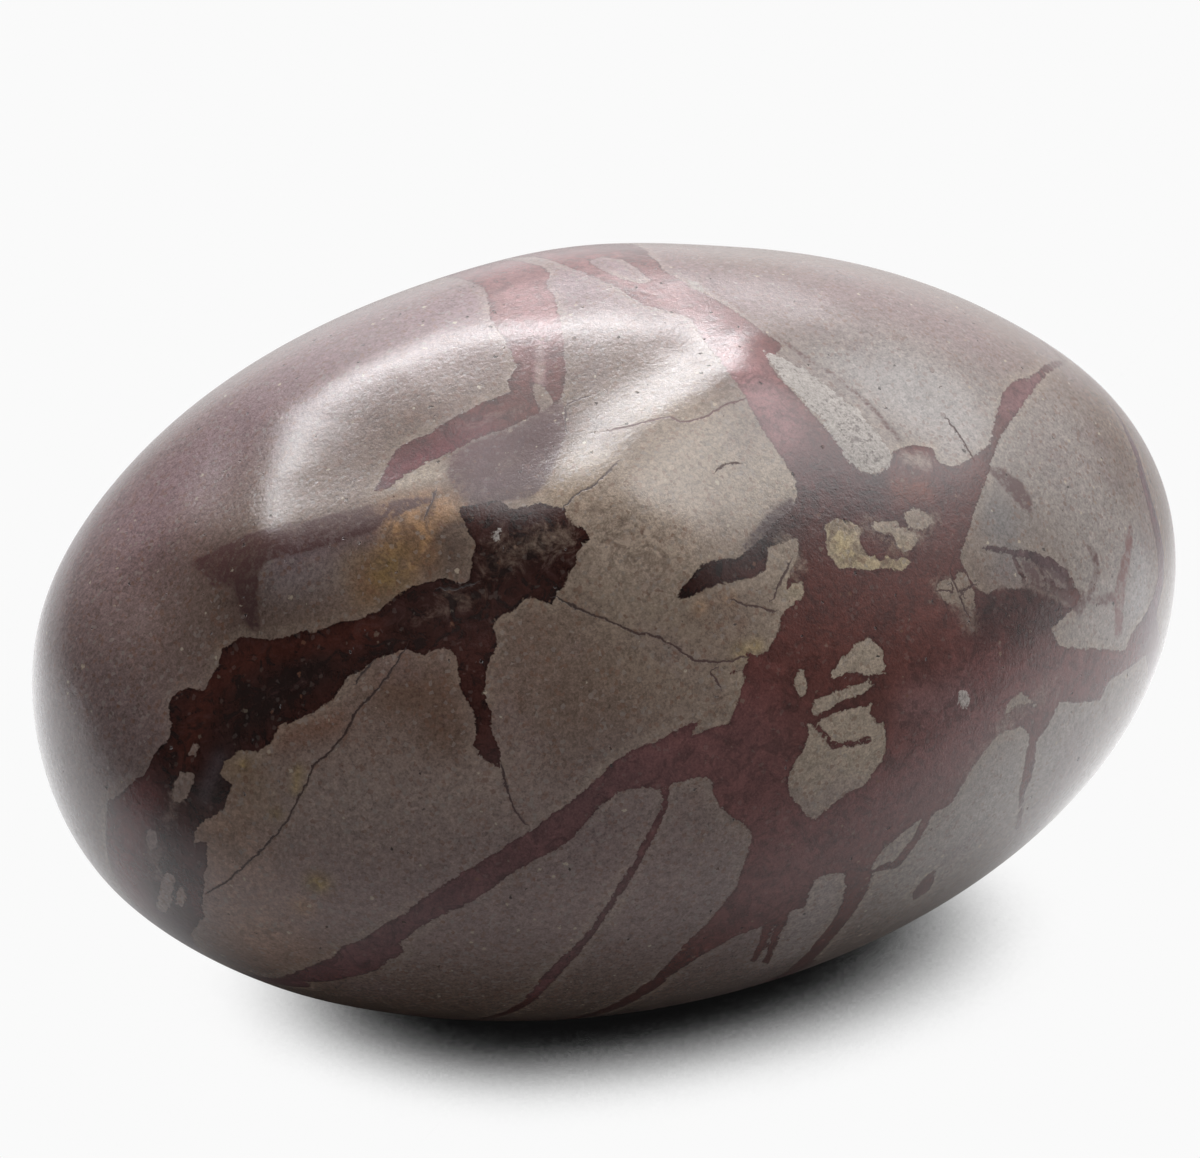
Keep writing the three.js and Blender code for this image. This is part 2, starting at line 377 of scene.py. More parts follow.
# %% The chips of silt that stand in the veins
CHIPS = {
    "upper chip": [
        (868, 636), (883, 650), (885, 673), (868, 675), (858, 671), (845, 673), (830, 680), (837, 665),
        (853, 646)],
    "sliver": [
        (809, 712), (815, 700), (830, 694), (848, 688), (868, 682), (874, 686), (852, 697), (838, 702),
        (828, 710), (816, 717)],
    "big chip": [
        (804, 725), (815, 722), (825, 717), (840, 711), (860, 707), (873, 704), (870, 714), (877, 724),
        (884, 722), (886, 752), (875, 770), (864, 786), (850, 792), (836, 800), (825, 812), (815, 820),
        (805, 815), (795, 802), (787, 787), (790, 772), (800, 755), (810, 732)],
    "low sliver": [(870, 870), (883, 849), (902, 833), (922, 818), (914, 837), (895, 860)],
    "bottom chip": [
        (814, 880), (822, 876), (835, 873), (845, 873), (845, 891), (838, 912), (830, 925), (818, 939),
        (806, 954), (790, 968), (770, 975), (762, 975), (774, 950), (786, 925), (790, 910), (805, 907)],
    "yellow chip": [
        (825, 526), (837, 518), (846, 521), (864, 529), (859, 538), (861, 546), (867, 557), (876, 556),
        (882, 561), (887, 556), (895, 562), (903, 558), (911, 562), (901, 571), (889, 568), (867, 570),
        (854, 567), (839, 569), (829, 554)],
    "grains beside the dark patch": [
        (936, 588), (948, 578), (955, 586), (957, 572), (966, 574), (975, 592), (974, 610), (962, 604),
        (946, 602)],
    "pink crumb": [(892, 532), (902, 528), (914, 532), (920, 540), (914, 548), (905, 552), (896, 546)],
    "grey crumb": [(904, 512), (914, 508), (928, 513), (934, 521), (926, 529), (913, 529), (904, 521)],
    "olive crumbs": [(871, 525), (884, 520), (899, 523), (899, 527), (886, 533), (875, 531)],
    "grain by the tongue": [
        (787, 592), (792, 585), (797, 581), (803, 582), (805, 590), (803, 598), (795, 602), (791, 607),
        (787, 598)],
    "small grains": [(797, 673), (803, 671), (806, 682), (807, 692), (803, 698), (797, 692), (794, 683)],
    "fleck": [(1004, 711), (1010, 700), (1021, 692), (1036, 705), (1020, 704), (1008, 713)],
    "lens in the left vein": [(173, 800), (176, 782), (184, 773), (196, 774), (192, 792), (182, 803)],
    "upper lens": [(190, 757), (194, 745), (200, 738), (202, 746), (197, 757)],
    "streaks in its foot": [(156, 908), (160, 890), (166, 870), (176, 876), (172, 900), (166, 913)],
    "streak beside them": [(176, 892), (181, 884), (186, 894), (182, 908), (176, 906)],
    "crumb at its edge": [(145, 838), (149, 828), (157, 832), (157, 846), (150, 852)],
    "gap in the wisp": [(533, 382), (541, 383), (550, 391), (556, 402), (552, 411), (543, 411), (537, 399)],
    "lens in the crown vein": [
        (588, 259), (601, 256), (622, 258), (640, 269), (652, 281), (640, 283), (620, 277), (600, 268)],
}
CHIP_CRACKS = [[(814, 718), (818, 729), (826, 738), (834, 746), (852, 744), (868, 740)]]
CHIP_CRACK_WIDTH = 3.0  # half of it, in the sheet's units
print("chips drawn:", len(CHIPS))

# %% [markdown]
# Three kinds of mark have no hard edge. Stains are where a little iron soaked into the silt beside a vein,
# but one of them is painted shade: the dark band along the underside of the brow.
# Pale patches are rough spots that took no polish. Thin places are where a vein is only a skin, and lets the
# ground show through. Cracks are the opposite: hairlines, far narrower than a cell of the net.

# %% Stains and painted shade, pale patches, thin places and cracks
SOFT_STAINS_AND_SHADE = {
    # painted shade: a dark band along the underside of the brow, where shade falls
    "painted shade under the brow": [
        (194, 560), (215, 549), (242, 535), (275, 526), (315, 519), (340, 512), (390, 501), (430, 494),
        (434, 500), (392, 519), (377, 529), (340, 543), (302, 552), (272, 559), (261, 566), (260, 585),
        (262, 605), (264, 632), (254, 626), (243, 602), (237, 582), (217, 584), (209, 571)],
    "under the wisp": [
        (450, 462), (500, 450), (537, 446), (545, 430), (540, 470), (520, 480), (500, 505), (470, 508),
        (458, 490)],
    "purple field": [
        (562, 398), (567, 425), (561, 450), (548, 480), (530, 498), (500, 500), (470, 506), (458, 490),
        (448, 474), (452, 456), (480, 440), (520, 424), (546, 410)],
    "over the dark patch": [
        (1018, 557), (1044, 559), (1068, 577), (1086, 604), (1080, 616), (1066, 602), (1048, 592),
        (1030, 584)],
    "over the tongue": [(738, 554), (752, 533), (770, 513), (792, 497), (799, 512), (780, 530), (760, 546)],
    "grey lens": [(782, 905), (786, 888), (796, 880), (806, 882), (800, 905), (790, 912)],
}

STAIN_STROKES = {
    "line beside the crown vein": [(684, 276, 1), (730, 301, 2), (766, 334, 2)],
    "line beside the pale streak": [
        (772, 334, 2), (800, 354, 2), (830, 374, 2), (864, 400, 3), (900, 440, 4)],
    "smoke at the right": [(990, 468, 4), (1003, 477, 9), (1016, 488, 11), (1026, 502, 8), (1031, 513, 2)],
    "line from the smoke": [(1028, 504, 1), (1042, 522, 1), (1055, 542, 1), (1066, 566, 1), (1084, 597, 2)],
    "its sideways stroke": [(1086, 601, 3), (1100, 600, 5), (1118, 596, 6)],
    "reddish brush": [
        (1131, 524, 3), (1129, 545, 6), (1125, 567, 8), (1120, 590, 9), (1119, 610, 9), (1119, 630, 8)],
    "dull brush": [(1088, 545, 2), (1094, 556, 5), (1097, 570, 5), (1092, 588, 4), (1088, 600, 3)],
    "hook": [(1103, 700, 2), (1108, 716, 2), (1117, 728, 2), (1131, 718, 2)],
}

PALE_PATCHES = {
    "streak beside the heart": [
        (764, 352), (784, 358), (808, 372), (836, 392), (860, 414), (880, 438), (890, 456), (886, 469),
        (869, 474), (850, 463), (830, 431), (803, 399), (781, 377)],
    "white fleck in the heart": [(957, 697), (964, 691), (972, 697), (970, 705), (962, 708)],
    "grit on the low end's vein": [(490, 534), (499, 531), (498, 540)],
    "grit by the crown vein": [(688, 279), (700, 284), (706, 292), (694, 290)],
}

# reach in mm, strength, and the spots along which a vein lets the ground through
THIN_STROKES = {
    "left vein's lens": (1.1, 0.6, [(182, 785), (168, 820)]),
    "left vein's foot": (1.8, 0.55, [(155, 850), (165, 885)]),
    "left vein's root": (1.1, 0.4, [(420, 618), (455, 606), (485, 592)]),
    "dark knot": (2.4, 0.55, [(498, 560), (520, 546), (560, 536)]),
    "pale lens in the knot": (0.9, 0.6, [(448, 592), (470, 600)]),
    "crumbs in the heart": (1.9, 0.5, [(872, 524), (893, 545), (915, 535), (932, 520)]),
    "grey spot": (1.3, 0.75, [(906, 459), (924, 461)]),
    "grains by the dark patch": (1.6, 0.7, [(942, 588), (962, 606), (970, 622)]),
    "crumbs over the dark patch": (0.8, 0.85, [(980, 584), (1018, 583), (1050, 590), (1070, 602)]),
    "wisp's grey lens": (1.0, 0.5, [(470, 424), (524, 408)]),
    "wisp's pale band": (0.6, 0.8, [(541, 346), (541, 380)]),
    "net": (1.7, 0.5, [(1008, 562), (1040, 572), (1066, 582)]),
    "right foot": (2.2, 0.5, [(1050, 690), (1005, 722), (970, 775)]),
    "beside the tongue": (1.5, 0.7, [(782, 545), (795, 566)]),
}

CRACKS = {
    "long crack below the left vein": [
        (407, 649), (394, 670), (382, 685), (371, 698), (356, 713), (350, 728), (341, 741), (326, 756),
        (313, 767), (310, 779), (300, 797), (292, 813), (277, 835), (264, 848), (241, 869), (229, 879),
        (208, 893)],
    "its short branch": [(374, 662), (359, 680)],
    "from the knot to the heart": [
        (559, 599), (574, 606), (588, 613), (603, 618), (622, 627), (637, 633), (659, 637), (671, 645),
        (683, 653), (695, 661), (710, 662), (731, 661), (744, 656)],
    "nick below it": [(712, 674), (719, 686)],
    "by the facet's tongue": [(736, 601), (747, 605), (760, 607), (772, 611)],
    "down to it": [(790, 562), (784, 575), (778, 588), (774, 598)],
    "below the hanging tongue": [(502, 768), (509, 797), (514, 809), (524, 822)],
    "over the brow": [
        (612, 430), (630, 426), (655, 420), (670, 417), (681, 422), (697, 420), (708, 416), (724, 405),
        (743, 400)],
    "nick below the brow": [(718, 470), (724, 465), (736, 463)],
    "by the wisp's gap": [(587, 396), (574, 401), (566, 405), (567, 427)],
    "up from the knot": [(566, 505), (577, 493), (592, 487), (604, 476), (615, 465)],
    "through the ochre": [(437, 492), (433, 502), (428, 514)],
    "in the grains": [(950, 572), (958, 592), (966, 612)],
    "across them": [(940, 590), (958, 592), (975, 585)],
    "in the knot's pale lens": [(445, 588), (460, 588), (475, 583)],
    "by the crown line's root": [(947, 420), (960, 437), (971, 456)],
}
print(f"drawn: {len(SOFT_STAINS_AND_SHADE) + len(STAIN_STROKES)} stains, {len(PALE_PATCHES)} pale patches, "
      f"{len(THIN_STROKES)} thin places and {len(CRACKS)} cracks")

# %% [markdown]
# What the camera can't see is drawn as strokes between [along, turn] places instead. The veins run on over
# the edges of the sheet, thin out, and meet at the back in a second, smaller heart.

# %% The marks on the hidden sides
# along, turn and half-width in mm
HIDDEN_STROKES = {
    "crown vein going over": [
        (4, -10, 2.6), (-1, -18, 2.3), (-6, -32, 1.8), (-9, -50, 2.0), (-7, -66, 2.6), (-3, -82, 3.6)],
    "wisp going over": [
        (-7, -9, 3.6), (-9, -24, 3.0), (-14, -40, 2.4), (-22, -54, 1.8), (-33, -60, 1.1), (-44, -66, 0.4)],
    "left vein going under": [
        (-53, 144, 2.8), (-51, 160, 3.0), (-46, 176, 3.0), (-38, 190, 2.4), (-30, 204, 1.6),
        (-26, 222, 0.5)],
    "low end's vein": [
        (-54, 150, 2.0), (-56, 180, 1.5), (-53, 210, 1.2), (-44, 232, 1.6), (-34, 246, 2.2),
        (-22, 254, 2.8), (-8, 258, 2.4), (2, 262, 2.0)],
    "diagonal vein going under": [(-42, 140, 1.1), (-46, 154, 0.9), (-50, 170, 0.5)],
    "thin vein going under": [(-21, 130, 0.5), (-24, 146, 0.45), (-28, 162, 0.35), (-31, 180, 0.1)],
    "heart's foot going under": [
        (-9, 127, 1.0), (-13, 142, 0.9), (-18, 158, 0.8), (-20, 176, 0.5), (-17, 196, 0.1)],
    "chip's foot going under": [
        (9, 136, 1.3), (4, 150, 1.9), (2, 168, 2.6), (6, 186, 3.0), (14, 202, 2.6), (22, 218, 1.8),
        (26, 236, 1.2), (20, 252, 1.6)],
    "band round the raised end": [
        (50, 90, 2.0), (53, 110, 1.8), (52, 140, 1.5), (47, 170, 1.3), (42, 196, 1.9), (36, 222, 2.4),
        (31, 244, 1.7), (24, 256, 1.2)],
    "line going over": [
        (49, 12, 0.5), (48, -4, 0.6), (44, -24, 0.7), (38, -44, 0.9), (30, -60, 1.2), (20, -72, 1.7),
        (10, -82, 2.2)],
    "back spur": [(0, -104, 1.6), (-12, -114, 1.3), (-24, -122, 1.0), (-36, -130, 0.6), (-46, -134, 0.2)],
    "back spur, raised end": [(12, -106, 1.6), (26, -102, 1.1), (40, -98, 0.8), (52, -104, 0.3)],
}
BACK_HEART = [
    (-12, -74), (-6, -64), (3, -66), (11, -76), (17, -86), (15, -98), (19, -110), (11, -114), (3, -106),
    (-5, -111), (-13, -103), (-9, -94), (-17, -86)]
BACK_CHIPS = [
    [(-4, -76), (-1, -73), (3, -75), (7, -80), (5.5, -84), (8, -88), (3, -91), (-1, -90), (-1.5, -86),
     (-5, -83)],
    [(8, -92), (11, -95), (14, -94), (12.5, -99), (11, -104), (8, -102), (9, -97)],
    [(-33, 246), (-30, 250), (-26, 247), (-27, 243), (-31, 242)],
    [(4, 176), (8, 180), (7, 184), (9, 190), (5, 187), (3, 181)],
]
# the same as a THIN_STROKES row, between places
HIDDEN_THIN_STROKES = [
    (2.6, 0.7, [(-52, 160), (-44, 180)]),
    (2.4, 0.7, [(2, -80), (10, -100), (2, -108)]),
    (2.0, 0.6, [(30, 244), (42, 200), (50, 150)]),
    (1.6, 0.6, [(-20, 256), (-40, 236)]),
    (2.0, 0.6, [(4, 160), (12, 200)]),
]
HIDDEN_CRACKS = [
    [(-30, 262), (-24, 270), (-20, 282), (-13, 290)],
    [(30, 262), (36, 272), (37, 284), (43, 294)],
    [(-12, 214), (-6, 224), (-4, 236)],
    [(-40, 292), (-36, 304), (-35, 316)],
]
print("drawn on the hidden sides:", len(HIDDEN_STROKES), "strokes and", len(BACK_CHIPS), "chips")

# %% [markdown]
# ### From flat drawing to stone
#
# Every mark is kept as a depth: how far a point lies inside its edge, in millimetres, and below 0 outside.
# A depth changes smoothly over the net, so the edge, where it passes 0, stays sharp even though the net is
# coarse, and the material can still fray it with noise. A painted picture would blur at the same size.

# %% Throw the sheet onto the stone
REACH = 4.0  # how far from a mark its depth is worked out, mm
UNIT = VIEW_DISTANCE * SENSOR / LENS / SHEET_WIDE  # one unit of the sheet on the stone's near side, mm


def thrown(spots):
    """Spots of the sheet as points of the plain egg. A ray from the eye meets the egg of half-widths
    HALF + rise where |eye + t ray| = 1, both divided by those half-widths; three rounds let the rise settle.
    A ray that passes the egg by takes its nearest point, t = -eye.ray / ray.ray."""
    spots = np.asarray(spots, float)
    unit = SENSOR / LENS / SHEET_WIDE
    sideways = (spots[:, :1] - SHEET_WIDE / 2) * unit * right
    upwards = (SHEET_HIGH / 2 - spots[:, 1:2]) * unit * up
    rays = (sideways + upwards - back) @ tilt
    start = (eye - middle) @ tilt
    rise = np.zeros(len(spots))
    for _ in range(3):
        half = HALF + rise[:, None]
        a = np.sum((rays / half) ** 2, axis=1)
        b = np.sum(rays * start / half**2, axis=1)
        c = np.sum((start / half) ** 2, axis=1) - 1
        t = (-b - np.sqrt(np.maximum(b**2 - a * c, 0))) / a
        facing = (start + t[:, None] * rays) / half
        points = facing / np.linalg.norm(facing, axis=1, keepdims=True) * HALF
        rise = rise_at(points)
    return points


print("one unit of the sheet is", round(UNIT, 3), "mm on the stone")
print("the sheet's middle falls on the egg at, in mm:", thrown([(SHEET_WIDE / 2, SHEET_HIGH / 2)]).round(1))


# %% Round off the corners
def rounded(places, closed=False):
    """Chaikin's corner cutting, twice: each run from a to b gives way to its points a + (b - a) / 4 and
    a + 3 (b - a) / 4, which turns corners into curves. An open path keeps its two ends."""
    places = np.asarray(places, float)
    for _ in range(2):
        start = places if closed else places[:-1]
        end = np.roll(places, -1, axis=0) if closed else places[1:]
        cut = np.stack([start * 0.75 + end * 0.25, start * 0.25 + end * 0.75], axis=1)
        cut = cut.reshape(-1, places.shape[1])
        places = cut if closed else np.concatenate([places[:1], cut, places[-1:]])
    return places


print("corners of the small heart:", len(BACK_HEART), "and rounded:", len(rounded(BACK_HEART, closed=True)))


# %% How deep a point lies in a mark
def outline_depth(outline):
    """How deep every point of the net lies inside a closed outline, in mm, below 0 outside. The size is the
    distance to the nearest edge. The sign counts edges crossed on a flat chart, the stereographic one about
    the outline's middle: a direction d goes to (d.across, d.along) / (1 + d.middle)."""
    centre = outline.mean(axis=0)
    far = np.linalg.norm(outline - centre, axis=1).max() + REACH
    near = np.linalg.norm(egg_points - centre, axis=1) < far
    axis = centre / np.linalg.norm(centre)
    across = np.cross(axis, [0.0, 0.0, 1.0])
    across /= np.linalg.norm(across)
    along = np.cross(axis, across)

    def chart(points):
        d = points / np.linalg.norm(points, axis=1, keepdims=True)
        return np.stack([d @ across, d @ along], axis=-1) / (1 + d @ axis)[:, None]

    spots, bends = chart(egg_points[near]), chart(outline)
    inside = np.zeros(len(spots), bool)
    for (x0, y0), (x1, y1) in zip(bends, np.roll(bends, -1, axis=0)):
        if y0 != y1:
            straddles = (y0 > spots[:, 1]) != (y1 > spots[:, 1])
            inside ^= straddles & (spots[:, 0] < x0 + (spots[:, 1] - y0) * (x1 - x0) / (y1 - y0))
    depth = np.full(len(egg_points), -REACH)
    distance = nearest_on_path(egg_points[near], np.concatenate([outline, outline[:1]]))
    depth[near] = np.clip(np.where(inside, distance, -distance), -REACH, REACH)
    return depth


print("the big chip, at its deepest, in mm:", outline_depth(thrown(CHIPS["big chip"])).max().round(1))


# %% Pen strokes
def from_run(start, end):
    """For every point, how far along the run from start to end its nearest spot is, 0 to 1, and the arrow
    from that spot to the point."""
    step = end - start
    t = np.clip((egg_points - start) @ step / (step @ step), 0, 1)
    return t, egg_points - start - t[:, None] * step


def stroke_depth(path, half_widths):
    """How deep every point lies inside a pen stroke: on each run the half-width, which changes evenly along
    it, less the distance to the run."""
    depth = np.full(len(egg_points), -REACH)
    for start, end, w0, w1 in zip(path[:-1], path[1:], half_widths[:-1], half_widths[1:]):
        t, away = from_run(start, end)
        depth = np.maximum(depth, w0 + t * (w1 - w0) - np.linalg.norm(away, axis=1))
    return np.minimum(depth, REACH)


def pen(stroke):
    """The depth of a stroke of the sheet, whose spots are [x, y, half-width]."""
    stroke = np.array(stroke, float)
    return stroke_depth(thrown(stroke[:, :2]), stroke[:, 2] * UNIT)


def deepest(depths):
    """Several marks as one: at every point, the largest of their depths."""
    return np.max(np.stack(list(depths)), axis=0)


print("the net line lies on", np.count_nonzero(pen(VEIN_STROKES["net line"]) > 0), "points of the net")


# %% Cracks and soft paths
CRACK_REACH, CRACK_FADE = 0.9, 0.4  # how far a crack is felt, and the outer part of that where it fades, mm


def beside(paths):
    """How far to the side of the nearest crack every point lies, below 0 on its left, and how near it is: 1
    on the crack, 0 from CRACK_REACH on. A sideways distance goes straight through 0, so even a net that is
    coarser than the crack carries it."""
    gap = np.full(len(egg_points), REACH)
    side = np.full(len(egg_points), REACH)
    outward = egg_points / HALF**2
    for path in paths:
        for start, end in zip(path[:-1], path[1:]):
            _, away = from_run(start, end)
            distance = np.linalg.norm(away, axis=1)
            left = np.sum(np.cross(outward, end - start) * away, axis=1) > 0
            side = np.where(distance < gap, np.where(left, -distance, distance), side)
            gap = np.minimum(gap, distance)
    return side, np.clip((CRACK_REACH - gap) / CRACK_FADE, 0, 1)


def laid_along(path, reach):
    """1 on a path, fading as exp(-(distance / reach)^2) to either side."""
    path = path if len(path) > 1 else np.repeat(path, 2, axis=0)
    return np.exp(-(nearest_on_path(egg_points, path) / reach) ** 2)


near_crack = beside([thrown(CRACKS["from the knot to the heart"])])[1]
print("the crack from the knot to the heart is felt on", np.count_nonzero(near_crack), "points")


# %% Draw every mark
def outlines(drawing):
    """The depths of a drawing's outlines, each thrown from the sheet."""
    return [outline_depth(thrown(outline)) for outline in drawing.values()]


def strokes(drawing):
    """The depths of a drawing's pen strokes."""
    return [pen(stroke) for stroke in drawing.values()]


hidden_strokes = [rounded(stroke) for stroke in HIDDEN_STROKES.values()]
veins = outlines(VEINS) + strokes(VEIN_STROKES)
veins += [stroke_depth(on_egg(stroke[:, :2]), stroke[:, 2]) for stroke in hidden_strokes]
veins.append(outline_depth(on_egg(rounded(BACK_HEART, closed=True))))
chips = outlines(CHIPS) + [outline_depth(on_egg(outline)) for outline in BACK_CHIPS]
chip_cracks = [pen([(*spot, CHIP_CRACK_WIDTH) for spot in crack]) for crack in CHIP_CRACKS]
vein = deepest([np.minimum(deepest(veins), -deepest(chips)), *chip_cracks])
# the stains, with the painted shade under the brow among them
stain_and_shade = deepest(outlines(SOFT_STAINS_AND_SHADE) + strokes(STAIN_STROKES))
pale = deepest(outlines(PALE_PATCHES))
thin_paths = [(reach, strength, thrown(path)) for reach, strength, path in THIN_STROKES.values()]
thin_paths += [(reach, strength, on_egg(path)) for reach, strength, path in HIDDEN_THIN_STROKES]
thin = deepest(strength * laid_along(path, reach) for reach, strength, path in thin_paths)
crack_side, crack_near = beside([thrown(crack) for crack in CRACKS.values()]
                               + [on_egg(crack) for crack in HIDDEN_CRACKS])
print(f"{len(veins)} veins, {len(chips)} chips; the veins cover {(vein > 0).mean():.0%} of the net's points")

# %% [markdown]
# Under the hard edges the colour drifts softly. Iron has rusted here and leached out there. A few of the
# drifts
# are painted light and shade instead: a painted highlight on the heart's left arm and, near its right end, on
# the crown vein, and painted shade along the underside of the brow. These drifts are washes: a colour laid on
# along a pen line, strongest on it and fading to either side, as watercolour does. They are mixed on the
# net's points, one coat over another, into a ground colour and a vein colour.

# %% The colours
OLIVE = (0.128, 0.086, 0.066)
PURPLE_GREY = (0.15, 0.106, 0.102)
MAUVE = (0.18, 0.112, 0.118)
UMBER = (0.112, 0.074, 0.056)
EARTH = (0.055, 0.032, 0.028)
TAN = (0.285, 0.228, 0.175)
PINK_GREY = (0.17, 0.125, 0.115)
PALE_GREY = (0.22, 0.19, 0.17)
OCHRE = (0.32, 0.178, 0.086)
DULL_OCHRE = (0.19, 0.118, 0.048)
YELLOW = (0.30, 0.21, 0.07)
RUST = (0.14, 0.066, 0.042)
BLUE_GREY = (0.13, 0.125, 0.125)
BRICK = (0.085, 0.026, 0.02)
MAROON = (0.026, 0.011, 0.009)
PLUM = (0.06, 0.03, 0.028)
WINE = (0.112, 0.05, 0.05)
SMOKE = (0.070, 0.043, 0.044)
DEAD_RED = (0.125, 0.050, 0.047)
PINK = (0.21, 0.09, 0.09)
SOOT = (0.016, 0.010, 0.009)

# %% The washes
# colour, strength, reach in mm, and the spots of the sheet that it is laid along
GROUND_WASHES = [
    (PURPLE_GREY, 0.9, 14, [(60, 560), (80, 700), (200, 860), (400, 860), (600, 860), (760, 900)]),
    (MAUVE, 0.9, 10, [(150, 500), (320, 360), (480, 300), (600, 270)]),
    (MAUVE, 0.6, 9, [(700, 300), (850, 300), (960, 340)]),
    (UMBER, 0.7, 6, [(540, 600), (640, 640), (560, 720)]),
    (PINK_GREY, 0.9, 7, [(560, 900), (690, 880), (660, 830)]),
    (TAN, 0.75, 7, [(640, 520), (700, 450), (770, 490)]),
    (TAN, 0.35, 7, [(650, 620), (700, 690)]),
    (TAN, 1.0, 9, [(850, 560), (850, 660), (840, 760)]),
    (PALE_GREY, 0.8, 10, [(850, 380), (980, 420), (1080, 500), (1100, 600)]),
    (PALE_GREY, 0.8, 9, [(1080, 720), (1000, 800), (930, 860)]),
    ((0.25, 0.215, 0.198), 0.7, 7, [(1070, 440), (1110, 520), (1120, 620)]),
    ((0.24, 0.195, 0.18), 0.8, 4, [(820, 890), (790, 950)]),
    (BLUE_GREY, 0.6, 3, [(1000, 520), (1010, 560)]),
    (OCHRE, 0.75, 1.8, [(396, 512), (425, 503), (446, 508)]),
    (OCHRE, 0.95, 1.5, [(398, 528), (424, 530), (430, 552), (412, 560), (396, 548)]),
    (TAN, 0.8, 1.4, [(410, 478), (440, 470)]),
    (OCHRE, 0.7, 0.8, [(386, 545), (376, 560), (368, 574)]),
    (EARTH, 0.75, 0.4, [(424, 566), (433, 549), (441, 534), (452, 526), (470, 524)]),
    (EARTH, 0.7, 0.4, [(413, 526), (419, 545), (418, 560)]),
    (EARTH, 0.65, 0.4, [(397, 562), (409, 545), (404, 520)]),
    (EARTH, 0.7, 0.4, [(437, 494), (432, 506), (427, 516)]),
    (EARTH, 0.55, 0.4, [(392, 536), (398, 548), (412, 554)]),
    (EARTH, 0.6, 0.5, [(430, 574), (442, 556), (452, 546), (468, 542)]),
    ((0.095, 0.066, 0.052), 0.85, 1.6, [(450, 540), (456, 568)]),
    (DULL_OCHRE, 1.0, 2.6, [(350, 562), (372, 575), (392, 568)]),
    (RUST, 0.5, 1.2, [(362, 572), (372, 590)]),
    (DULL_OCHRE, 0.6, 3, [(240, 770), (260, 800), (225, 835)]),
    ((0.27, 0.162, 0.115), 0.85, 6, [(225, 850), (240, 910), (270, 940)]),
    ((0.235, 0.172, 0.142), 0.7, 9, [(330, 800), (400, 800), (470, 780)]),
    ((0.22, 0.15, 0.135), 0.5, 8, [(330, 900), (480, 920), (620, 900)]),
    ((0.07, 0.033, 0.042), 0.85, 2.2, [(548, 425), (536, 470), (490, 486), (480, 455), (530, 435)]),
    ((0.11, 0.072, 0.076), 0.7, 2.2, [(462, 424), (524, 420)]),
    ((0.20, 0.165, 0.168), 0.6, 3.0, [(285, 572), (330, 566)]),
    # painted shade along the underside of the brow
    ((0.115, 0.08, 0.085), 0.7, 2.2, [(290, 550), (335, 541), (365, 533)]),
    ((0.26, 0.24, 0.235), 0.7, 2.6, [(1140, 560), (1138, 600)]),
    ((0.055, 0.032, 0.03), 0.8, 1.1, [(756, 545), (774, 522), (790, 508)]),
    # painted shade: the tail of the dark band under the brow
    (PLUM, 0.5, 2.2, [(215, 560), (245, 575), (250, 610)]),
    (DULL_OCHRE, 0.5, 3, [(580, 470), (560, 500)]),
    (RUST, 0.6, 1.6, [(280, 738), (335, 722)]),
    ((0.095, 0.052, 0.034), 0.7, 3.2, [(400, 690), (440, 695), (445, 730)]),
    ((0.34, 0.262, 0.205), 0.9, 4.5, [(600, 535), (650, 550)]),
    ((0.27, 0.24, 0.225), 0.7, 6, [(880, 370), (930, 410)]),
    ((0.27, 0.24, 0.225), 0.6, 7, [(1070, 740), (1000, 790)]),
    ((0.32, 0.245, 0.13), 0.85, 2.2, [(836, 530), (848, 558), (895, 564)]),
    ((0.32, 0.26, 0.17), 0.7, 1.2, [(796, 590)]),
    (YELLOW, 0.8, 1.1, [(318, 883)]),
    (OCHRE, 0.5, 1.2, [(303, 907)]),
    (YELLOW, 0.5, 0.6, [(277, 814)]),
    (YELLOW, 0.5, 0.5, [(246, 764)]),
    (YELLOW, 0.45, 0.6, [(300, 770), (297, 790)]),
    (YELLOW, 0.5, 0.8, [(757, 648), (742, 652)]),
    (OCHRE, 0.5, 0.6, [(730, 598)]),
    (OCHRE, 0.45, 0.7, [(700, 606)]),
]
